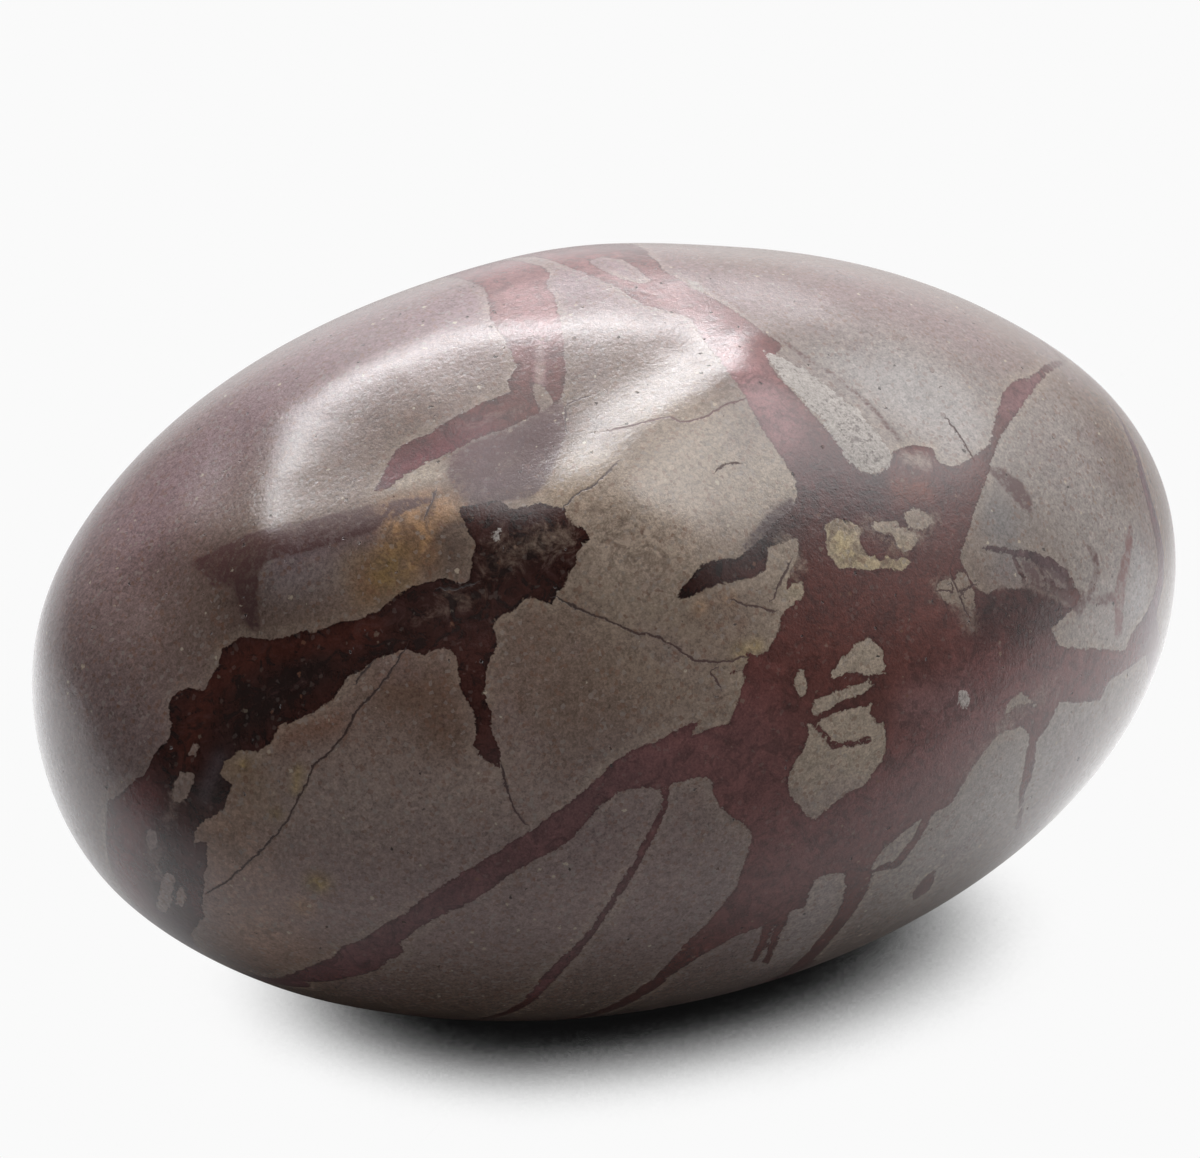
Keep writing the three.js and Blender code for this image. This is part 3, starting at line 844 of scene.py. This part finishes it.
VEIN_WASHES = [
    (MAROON, 1.0, 11, [(120, 880), (230, 700), (400, 620), (520, 560)]),
    ((0.055, 0.017, 0.012), 0.85, 1.6,
     [(372, 628), (320, 645), (262, 650), (222, 676), (200, 720), (186, 760)]),
    ((0.115, 0.035, 0.033), 0.9, 3.2, [(140, 800), (122, 850), (135, 900)]),
    (SOOT, 0.85, 1.7, [(322, 664), (288, 684), (262, 716)]),
    (SOOT, 0.6, 1.4, [(240, 735), (222, 780)]),
    ((0.062, 0.020, 0.018), 0.85, 1.8, [(192, 835), (196, 905)]),
    ((0.075, 0.055, 0.058), 0.7, 1.0, [(222, 760), (206, 795)]),
    ((0.042, 0.016, 0.013), 0.8, 5, [(480, 690), (490, 760)]),
    (WINE, 1.0, 7, [(290, 975), (450, 890), (600, 790), (700, 750)]),
    (WINE, 0.9, 2.5, [(530, 990), (600, 910), (665, 800)]),
    ((0.055, 0.014, 0.013), 0.9, 5, [(810, 470), (840, 480), (880, 500), (920, 480)]),
    (DEAD_RED, 0.9, 8, [(720, 760), (780, 840), (760, 900)]),
    (DEAD_RED, 0.9, 6, [(820, 830), (900, 790), (980, 720)]),
    (DEAD_RED, 0.8, 6, [(1000, 680), (1120, 670)]),
    ((0.15, 0.082, 0.08), 0.6, 2.5, [(915, 705), (960, 695)]),
    (PINK, 0.8, 6, [(510, 270), (540, 320)]),
    # the crown vein lightened to pink; near its right end, where the strip's reflection crosses it, this is a
    # painted highlight
    (PINK, 0.6, 5, [(600, 262), (700, 310), (740, 360)]),
    # painted highlight: the heart's left arm lightened to pink where a highlight lies over its edge
    ((0.24, 0.12, 0.12), 0.75, 3.2, [(752, 385), (778, 425)]),
    ((0.065, 0.014, 0.018), 0.7, 0.7, [(386, 486), (404, 466), (432, 452), (468, 444)]),
    ((0.34, 0.21, 0.21), 0.7, 0.5, [(541, 340), (541, 384)]),
    ((0.17, 0.088, 0.09), 0.8, 2.5, [(1012, 408), (1036, 384)]),
    (PINK, 0.7, 2.5, [(612, 428), (680, 420), (740, 402)]),
    (MAROON, 0.9, 3.5, [(690, 585), (770, 530)]),
    ((0.052, 0.021, 0.019), 1.0, 3.0, [(985, 616), (1020, 606), (1052, 614), (1024, 630)]),
    ((0.13, 0.03, 0.014), 0.8, 1.6, [(903, 490), (922, 488)]),
    ((0.10, 0.022, 0.025), 0.85, 2.6, [(395, 470), (440, 452), (480, 432)]),
    ((0.09, 0.04, 0.045), 1.0, 2.6, [(1100, 395), (1140, 470), (1166, 560), (1150, 620)]),
    ((0.22, 0.085, 0.072), 1.0, 1.8, [(1129, 540), (1120, 600), (1116, 632)]),
    ((0.075, 0.042, 0.045), 0.9, 1.4, [(985, 550), (1034, 557), (1062, 572)]),
]
# the same for the sides that the camera doesn't see, laid along [along, turn] places
HIDDEN_GROUND_WASHES = [
    (PURPLE_GREY, 0.9, 13, [(-30, 300), (-10, 285)]),
    (TAN, 0.6, 9, [(34, 300), (26, 280)]),
    (PINK_GREY, 0.8, 10, [(-34, 270), (-40, 240)]),
    (PALE_GREY, 0.6, 9, [(44, 240), (48, 280)]),
    (DULL_OCHRE, 0.6, 5, [(-14, 236), (-2, 240)]),
    (TAN, 0.7, 6, [(1, -83), (10, -96)]),
    (PURPLE_GREY, 0.9, 14, [(-20, 190), (30, 180)]),
    (OCHRE, 0.6, 2.2, [(-20, 306), (-16, 312)]),
]
HIDDEN_VEIN_WASHES = [
    (MAROON, 0.9, 8, [(-50, 180), (-44, 232), (-20, 252)]),
    (PLUM, 0.8, 7, [(20, 205), (36, 222), (47, 190)]),
    (PINK, 0.5, 5, [(-14, 320), (-30, 302)]),
    (DEAD_RED, 0.7, 7, [(2, 165), (8, 190)]),
]
print("washes:", len(GROUND_WASHES + HIDDEN_GROUND_WASHES), "for the ground and",
      len(VEIN_WASHES + HIDDEN_VEIN_WASHES), "for the veins")


# %% Mix the washes
def coats(base, sheet_washes, hidden_washes):
    """Mix each wash over the colour so far: colour + (wash - colour) * strength * exp(-(distance / reach)^2),
    first the washes of the sheet, then the hidden ones."""
    colour = np.tile(np.array(base), (len(egg_points), 1))
    for washes, placed in ((sheet_washes, thrown), (hidden_washes, on_egg)):
        for wash, strength, reach, path in washes:
            colour += (np.array(wash) - colour) * strength * laid_along(placed(path), reach)[:, None]
    return colour


ground_colour = coats(OLIVE, GROUND_WASHES, HIDDEN_GROUND_WASHES)
vein_colour = coats(BRICK, VEIN_WASHES, HIDDEN_VEIN_WASHES)
print("ground colours run from", ground_colour.min(axis=0).round(3), "to", ground_colour.max(axis=0).round(3))

# %% Store the drawing on the mesh
numbers = {"vein": vein, "stain_and_shade": stain_and_shade, "pale": pale, "thin": thin,
           "crack_side": crack_side, "crack_near": crack_near}
colours = {"ground": ground_colour, "vein_colour": vein_colour}
for name, values in numbers.items():
    mesh.attributes.new(name, "FLOAT", "POINT").data.foreach_set("value", values.astype(np.float32))
for name, values in colours.items():
    attribute = mesh.attributes.new(name, "FLOAT_VECTOR", "POINT")
    attribute.data.foreach_set("vector", values.astype(np.float32).ravel())
print("stored on every point:", ", ".join([*numbers, *colours]))

# %% [markdown]
# ## The finish
#
# Close up the ground is like sandstone: grains of a fifth to half a millimetre in slightly different browns,
# cream specks, dark pits, reddish bits. The veins are finer. The polish is a waxy one, a little uneven, so
# that highlights break up into sparkle. All of it is worked out from the place inside the stone, in
# millimetres, so the pattern goes right through as it does in real rock.

# %% A small helper that wires nodes
class Nodes:
    """Builds a node tree from sums and mixes. Every method but put and plug returns the socket that carries
    its result."""

    def __init__(self, tree):
        self.tree = tree

    def put(self, kind, settings=(), **sockets):
        """A new node, with its settings, and with its sockets set to numbers or wired to other sockets."""
        node = self.tree.nodes.new("ShaderNode" + kind)
        for name, value in dict(settings).items():
            setattr(node, name, value)
        for name, value in sockets.items():
            self.plug(node.inputs[name.replace("_", " ")], value)
        return node

    def plug(self, socket, value):
        if isinstance(value, bpy.types.NodeSocket):
            self.tree.links.new(value, socket)
        else:
            socket.default_value = value

    def math(self, operation, a, b=0.0, kind="Math", output=0):
        node = self.put(kind, {"operation": operation})
        self.plug(node.inputs[0], a)
        self.plug(node.inputs[1], b)
        return node.outputs[output]

    def plus(self, a, b):
        return self.math("ADD", a, b)

    def minus(self, a, b):
        return self.math("SUBTRACT", a, b)

    def times(self, a, b):
        return self.math("MULTIPLY", a, b)

    def size(self, a):
        return self.math("ABSOLUTE", a)

    def dot(self, a, b):
        """How far two directions lean the same way."""
        return self.math("DOT_PRODUCT", a, b, "VectorMath", "Value")

    def total(self, *terms):
        """The sum of terms, each a socket or a (socket, factor) pair."""
        result = 0.0
        for term in terms:
            socket, factor = term if isinstance(term, tuple) else (term, 1.0)
            result = self.plus(result, self.times(socket, factor))
        return result

    def step(self, value, low, high, give_low=0.0, give_high=1.0):
        """Smoothly from give_low, at and below low, to give_high, at and above high."""
        if low > high:
            low, high, give_low, give_high = high, low, give_high, give_low
        return self.put("MapRange", {"interpolation_type": "SMOOTHSTEP"}, Value=value, From_Min=low,
                        From_Max=high, To_Min=give_low, To_Max=give_high).outputs["Result"]

    def mix(self, share, under, over):
        node = self.put("Mix", {"data_type": "RGBA"}, Factor=share)
        self.plug(node.inputs[6], under)
        self.plug(node.inputs[7], over)
        return node.outputs[2]

    def tint(self, colour, factor):
        """A colour times a number."""
        return self.put("VectorMath", {"operation": "SCALE"}, Vector=colour, Scale=factor).outputs["Vector"]


# %% Grain, specks and clouds
GRAINS, FLECKS = 2.7, 0.75  # to the millimetre

matter = bpy.data.materials.new("jasper")
matter.use_nodes = True
shader = matter.node_tree.nodes["Principled BSDF"]
rock = Nodes(matter.node_tree)
place = rock.tint(rock.put("TexCoord").outputs["Object"], 1 / MM)


def noise(per_mm, detail=2.0, roughness=0.5, distortion=0.0):
    """Noise about 0, with `per_mm` lumps to the millimetre."""
    node = rock.put("TexNoise", Vector=place, Scale=per_mm, Detail=detail, Roughness=roughness,
                    Distortion=distortion)
    return rock.minus(node.outputs["Fac"], 0.5)


def cells(per_mm):
    """Cells with three random numbers each, and the distance from each cell's middle, in cells."""
    node = rock.put("TexVoronoi", Vector=place, Scale=per_mm)
    numbers = rock.put("SeparateColor", Color=node.outputs["Color"])
    return [*numbers.outputs[:3], node.outputs["Distance"]]


def drawn(name, kind="Fac"):
    """What the drawing says here."""
    return rock.put("Attribute", {"attribute_name": name}).outputs[kind]


def over(under, colour, share):
    """A plain colour over another, by a share."""
    return rock.mix(share, under, (*colour, 1))


def tell(layer):
    print(layer, "wired, the material has", len(matter.node_tree.nodes), "nodes")


# from the broadest, a lump in 11 mm, to the finest, five to the millimetre
cloud, patch = noise(0.09, 5, 0.6), noise(0.17, 6, 0.6, 0.8)
swirl, marble = noise(0.28, 7, 0.65, 1.4), noise(0.40, 6, 0.7, 1.7)
blotch, fibre, dust = noise(0.5, 4, 0.6, 0.6), noise(1.7, 4, 0.65), noise(4.5, 3, 0.6)
grain_a, grain_b, grain_c, _ = cells(GRAINS)
fleck_a, fleck_b, fleck_c, fleck_gap = cells(FLECKS)
print("grains are about", round(1 / GRAINS, 1), "mm across, flecks", round(1 / FLECKS, 1), "mm apart")

# %% [markdown]
# The ground takes its colour from the washes. Clouds, blotches and rust are laid over it, the silt close to a
# vein is bleached, and rusty stretches are mottled. Then each grain gets its own shade. A vein's depth is
# frayed by noise that also has a sharp valley in it, which gives the edge its spurs.

# %% The ground
spur = rock.size(noise(0.8, 4, 0.6, 1.0))
ragged = rock.total((blotch, 0.75), (fibre, 0.4), (dust, 0.08), (spur, -1.4), 0.1)
vein_depth = rock.total(drawn("vein"), ragged)
ground = drawn("ground", "Vector")
ground = over(ground, PURPLE_GREY, rock.step(cloud, 0.0, 0.22, 0, 0.5))
ground = over(ground, UMBER, rock.step(blotch, 0.04, 0.3, 0, 0.4))
ground = over(ground, RUST, rock.step(patch, 0.10, 0.24, 0, 0.3))
halo = rock.times(rock.step(vein_depth, -1.6, 0.0), rock.step(cloud, -0.15, 0.15, 0.35, 0.05))
ground = over(ground, TAN, halo)
hues = rock.put("SeparateColor", Color=ground).outputs
rusty = rock.step(rock.minus(hues["Red"], hues["Blue"]), 0.08, 0.15)
ground = over(ground, UMBER, rock.times(rusty, rock.step(marble, -0.03, 0.10, 0, 0.65)))
shade = rock.total(0.87, (grain_a, 0.30), (dust, 1.25), (fibre, 0.85), (blotch, 0.35))
ground = rock.tint(ground, shade)
ground = over(ground, RUST, rock.step(grain_b, 0.90, 0.93, 0, 0.35))
ground = over(ground, PALE_GREY, rock.step(grain_c, 0.93, 0.95, 0, 0.4))
hair = rock.step(rock.size(noise(0.33, 6, 0.62, 1.8)), 0.008, 0.0)
ground = over(ground, MAROON, rock.times(hair, rock.step(patch, 0.02, 0.12, 0, 0.4)))
tell("ground")

# %% The stains in it, and the painted shade under the brow
vein_hue = drawn("vein_colour", "Vector")
# the stains darken the ground towards the veins' colour and smoke, and so does the painted shade under the
# brow
frayed = rock.total(drawn("stain_and_shade"), (blotch, 0.8), (fibre, 0.9), (dust, 0.3))
streaky = rock.step(rock.total((fibre, 1.0), (marble, 1.2)), -0.14, 0.08, 0.4, 1.0)
stained_and_shaded = rock.times(rock.step(frayed, -0.25, 0.25, 0, 0.88), streaky)
ground = rock.mix(stained_and_shaded, ground, over(vein_hue, SMOKE, 0.5))
tell("stains")

# %% The jasper of the veins
strength = rock.total(1.0, (swirl, 1.5), (fibre, 0.7), (dust, 1.1))
red = rock.tint(vein_hue, rock.math("MAXIMUM", strength, 0.3))
brightness = rock.put("SeparateColor", Color=vein_hue).outputs["Red"]
mottled = rock.step(brightness, 0.075, 0.035, 0.4, 1.0)  # the darker the jasper, the more it is marbled
red = over(red, PLUM, rock.times(mottled, rock.step(marble, 0.03, 0.16, 0, 0.4)))
red = over(red, SOOT, rock.times(mottled, rock.step(marble, 0.0, -0.10, 0, 0.85)))
red = over(red, PALE_GREY, rock.step(grain_c, 0.96, 0.98, 0, 0.12))
red = rock.tint(red, rock.step(vein_depth, 0.0, 0.45, 0.72, 1.0))  # darker along its edge
through = rock.step(rock.total(drawn("thin"), (marble, 1.6), (fibre, 0.6)), 0.25, 0.95, 0, 0.7)
in_vein = rock.times(rock.step(vein_depth, -0.06, 0.08), rock.minus(1.0, through))
colour = rock.mix(in_vein, ground, red)
tell("veins")

# %% Specks, pits and cracks
CREAM = (0.40, 0.34, 0.26)

uneven_gap = rock.total(fleck_gap, (dust, 0.5), (fibre, 0.25))
speck = rock.step(rock.minus(uneven_gap, rock.times(fleck_c, 0.16)), 0.06, -0.02)
cream = rock.times(rock.times(speck, rock.step(fleck_a, 0.70, 0.80, 0, 0.65)),
                   rock.step(in_vein, 0.2, 0.8, 1.0, 0.25))
pit = rock.times(rock.step(uneven_gap, 0.14, 0.06), rock.step(fleck_a, 0.18, 0.14))
colour = over(colour, RUST, rock.times(speck, rock.step(fleck_b, 0.68, 0.78, 0, 0.6)))
colour = over(colour, CREAM, cream)
crack_line = rock.size(rock.total(drawn("crack_side"), (fibre, 0.7), (blotch, 0.5), (dust, 0.2)))
crack = rock.times(rock.step(crack_line, 0.18, 0.05), drawn("crack_near"))
colour = rock.mix(rock.times(crack, 0.9), colour, rock.tint(vein_hue, 0.5))
colour = over(colour, SOOT, rock.times(pit, 0.8))
tell("specks, pits and cracks")

# %% The pale, unpolished patches
CHALK = (0.31, 0.277, 0.252)

pale = rock.step(rock.total(drawn("pale"), (blotch, 1.6), (fibre, 1.4), (dust, 0.5)), -0.15, 0.15)
chalk = rock.tint(CHALK, rock.total(0.9, (fibre, 1.4), (dust, 1.5)))
crumbled = rock.total((fibre, 1.0), (blotch, 0.5), (dust, 0.3))
chalk = over(chalk, PLUM, rock.step(crumbled, -0.05, -0.14, 0, 0.45))
colour = rock.mix(rock.times(pale, 0.85), colour, chalk)
tell("pale patches")

# %% [markdown]
# The polish is one number and one bump. The roughness says how blurred a reflection is, and it is higher on
# the pale patches and in the cracks. The bump is a height in millimetres, so a pit really reads as 0.04 mm.

# %% The polish
POLISH = 0.23

roughness = rock.total(POLISH, (fibre, 0.12), (pale, 0.2), (in_vein, -0.02), (crack, 0.3))
relief = rock.total((dust, 0.022), (fibre, 0.028), (blotch, 0.035), (pit, -0.04), (crack, -0.012),
                    (in_vein, 0.004), (rock.times(pale, fibre), 0.08))
bump = rock.put("Bump", Height=relief, Strength=1.0, Distance=MM)
rock.plug(shader.inputs["Base Color"], colour)
rock.plug(shader.inputs["Roughness"], roughness)
rock.plug(shader.inputs["Normal"], bump.outputs["Normal"])
mesh.materials.append(matter)
tell("polish")

# %% [markdown]
# ## The table and the light
#
# The stone lies on white paper that runs far past the picture's edges. The paper must look evenly white but
# for the shadow, and it must light the stone from below only as much as a real table does. One material can't
# do both with one colour, so it is asked what kind of ray has met it. A ray from the camera sees plain white,
# darkened where the stone hides the sky. A ray from the stone sees a duller paper with light and shade
# painted on it, because a polished stone mirrors the table that it lies on: a painted shadow right under the
# stone, painted shade towards the camera and far behind, and painted light on the right and far out on the
# left.

# %% The table
TABLE_SPAN = 3000.0  # mm, far past the picture's edges
PAPER = (0.956, 0.956, 0.956)
SHADOW_REACH = 60.0  # how far the stone darkens the paper, mm
TABLE_BOUNCE = 0.35  # the share of light that the paper throws back up at the stone

corners = np.array([[-1, -1, 0], [1, -1, 0], [1, 1, 0], [-1, 1, 0]]) * TABLE_SPAN * MM
table_mesh = bpy.data.meshes.new("table")
table_mesh.from_pydata(corners.tolist(), [], [(0, 1, 2, 3)])
table = bpy.data.objects.new("table", table_mesh)
bpy.context.scene.collection.objects.link(table)
print("the table spans, in m:", 2 * TABLE_SPAN * MM)

# %% The paper
paper = bpy.data.materials.new("white_paper")
paper.use_nodes = True
paper.node_tree.nodes.clear()
sheet = Nodes(paper.node_tree)
spot = sheet.tint(sheet.put("TexCoord").outputs["Object"], 1 / MM)
across, nearer = sheet.dot(spot, tuple(right)), sheet.dot(spot, tuple(compass(0, 0)))
spread = sheet.put("VectorMath", {"operation": "LENGTH"}, Vector=spot).outputs["Value"]

# the paper as the stone mirrors it, with light and shade painted on it: each row goes from one distance to
# another, in mm, and from one brightness to another, and the rows are multiplied
MIRRORED_LIGHT_AND_SHADE = {
    "painted shade towards the camera": (nearer, 20, 90, 0.6, 0.07),
    "painted shadow right under the stone": (spread, 30, 65, 0.25, 1.0),
    "painted light on the right": (across, -60, 100, 1.2, 1.6),
    "painted light far out on the left": (across, -45, -100, 1.0, 1.4),
    "painted shade far behind": (nearer, -160, -60, 0.5, 1.0),
}
mirrored_light_and_shade = 1.0
for row in MIRRORED_LIGHT_AND_SHADE.values():
    mirrored_light_and_shade = sheet.times(mirrored_light_and_shade, sheet.step(*row))
rays = sheet.put("LightPath").outputs
bounce = sheet.put("Mix", Factor=rays["Is Diffuse Ray"], A=mirrored_light_and_shade, B=TABLE_BOUNCE).outputs["Result"]

# the shadow: the more of the sky is open, the whiter, and it falls to the right of the stone
open_sky = sheet.put("AmbientOcclusion", {"samples": 24}, Distance=SHADOW_REACH * MM).outputs["AO"]
for start, end, give_start, give_end in ((-35, -5, 0.045, -0.04), (10, 50, 0.0, -0.04)):
    open_sky = sheet.plus(open_sky, sheet.step(across, start, end, give_start, give_end))
whiteness = sheet.step(open_sky, 0.14, 0.40, 0.004, 1.0)
seen = sheet.put("Emission", Color=(*PAPER, 1), Strength=whiteness)
skin = sheet.put("BsdfDiffuse", Color=bounce)
choice = sheet.put("MixShader", Fac=rays["Is Camera Ray"])
sheet.plug(choice.inputs[1], skin.outputs["BSDF"])
sheet.plug(choice.inputs[2], seen.outputs["Emission"])
sheet.put("OutputMaterial", Surface=choice.outputs["Shader"])
table_mesh.materials.append(paper)
print("the paper's material has", len(paper.node_tree.nodes), "nodes")

# %% [markdown]
# The light is soft and comes from above and behind. It could be built from area lamps, but here it is painted
# on the sky that surrounds the scene, as smooth steps over its directions: then every reflection on the stone
# can be traced to one line below. The strip is the important one. It is long, thin and bright, and the stone
# bends its reflection round the dish, which is what shows the relief.


# %% The sky
class Sky(Nodes):
    """Brightness over the directions of the room, put together from smooth steps."""

    def __init__(self, tree):
        super().__init__(tree)
        self.direction = self.put("TexCoord").outputs["Generated"]

    def along(self, towards):
        return self.dot(self.direction, tuple(towards))

    def panel(self, azimuth, height, half_wide, half_high, soft, bright):
        """A lit panel with soft edges: a product of one step across it and one up it."""
        facing, across = compass(azimuth, height), compass(azimuth + 90, 0)
        lit = self.step(self.along(facing), 0, 0.1)
        for axis, half in ((across, half_wide), (np.cross(across, facing), half_high)):
            edge, reach = math.sin(math.radians(soft)), math.sin(math.radians(half))
            lit = self.times(lit, self.step(self.size(self.along(axis)), reach - edge, reach + edge, 1, 0))
        return self.times(lit, bright)


# %% The light
DAYLIGHT = (0.975, 0.985, 1)
LEFT_WALL, RIGHT_WALL, BACK_WALL, OPENING = 0.02, 1.25, 1.45, 0.85
# azimuth, height, the cosines at which the glow begins and is full, and its brightness
GLOWS = {"overhead": (85, 75, 0.90, 0.985, 3.3), "high right": (95, 38, 0.90, 0.99, 0.6),
         "high left": (232, 70, 0.90, 0.99, 1.4)}
# azimuth, height, half of the width and of the height, softness, all in degrees, and the brightness
PANELS = {"box on the right": (100, 47, 19, 11, 9, 2.8), "strip": (203, 47.5, 25, 2.6, 2, 31.0)}

world = bpy.data.worlds.new("studio")
world.use_nodes = True
sky = Sky(world.node_tree)
walls = sky.step(sky.along(compass(90, 50)), 0.45, 0.95, LEFT_WALL, RIGHT_WALL)
behind = sky.step(sky.along(compass(192, 20)), 0.45, 0.96, 0, BACK_WALL)
behind = sky.times(behind, sky.step(sky.along(compass(270, 0)), 0.30, 0.65, 1.0, 0.25))
glow = sky.plus(walls, behind)
glow = sky.times(glow, sky.minus(1.0, sky.panel(-5, 15, 50, 40, 16, OPENING)))  # the dark room in front
for azimuth, height, begins, full, bright in GLOWS.values():
    glow = sky.plus(glow, sky.step(sky.along(compass(azimuth, height)), begins, full, 0, bright))
for panel in PANELS.values():
    glow = sky.plus(glow, sky.panel(*panel))
background = world.node_tree.nodes["Background"]
background.inputs["Color"].default_value = (*DAYLIGHT, 1)
sky.plug(background.inputs["Strength"], glow)
bpy.context.scene.world = world
bpy.context.scene.view_settings.view_transform = "Standard"
print("the sky has", len(GLOWS), "glows and", len(PANELS), "panels")
